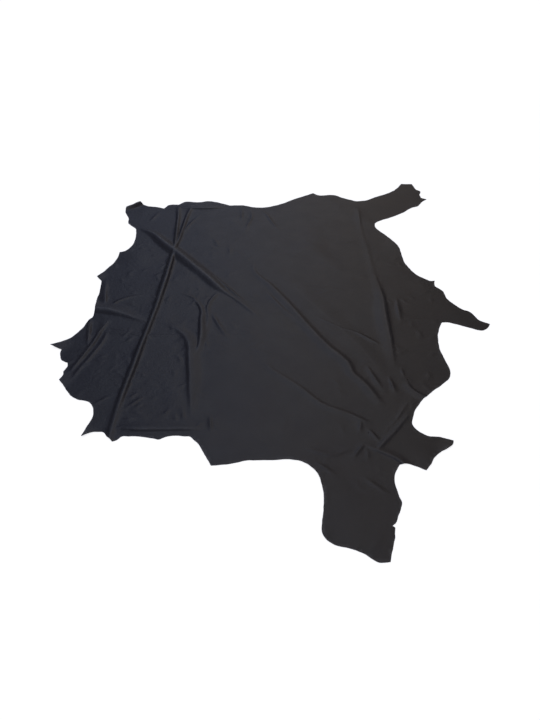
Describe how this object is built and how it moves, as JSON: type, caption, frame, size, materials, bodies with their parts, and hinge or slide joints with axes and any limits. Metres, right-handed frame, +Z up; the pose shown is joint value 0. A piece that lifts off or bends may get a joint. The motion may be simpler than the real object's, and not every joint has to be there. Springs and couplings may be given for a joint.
{
  "type": "leather hide",
  "caption": "Whole black leather hide, spread out flat with soft storage creases and the irregular cut edge of a full skin.",
  "frame": {"origin": "on the surface that the hide lies on, under the middle of its bounding box", "axes": "+Z up from the surface, +Y along the hide's longest extent, from the long lower flap to the upper right leg"},
  "size_m": [2.257, 2.849, 0.0225],
  "materials": {
    "leather": "soft semi-matt black grain side, with a dark grey flesh side and cut edge"
  },
  "bodies": {
    "root": {"hide": "leather"}
  },
  "joints": []
}
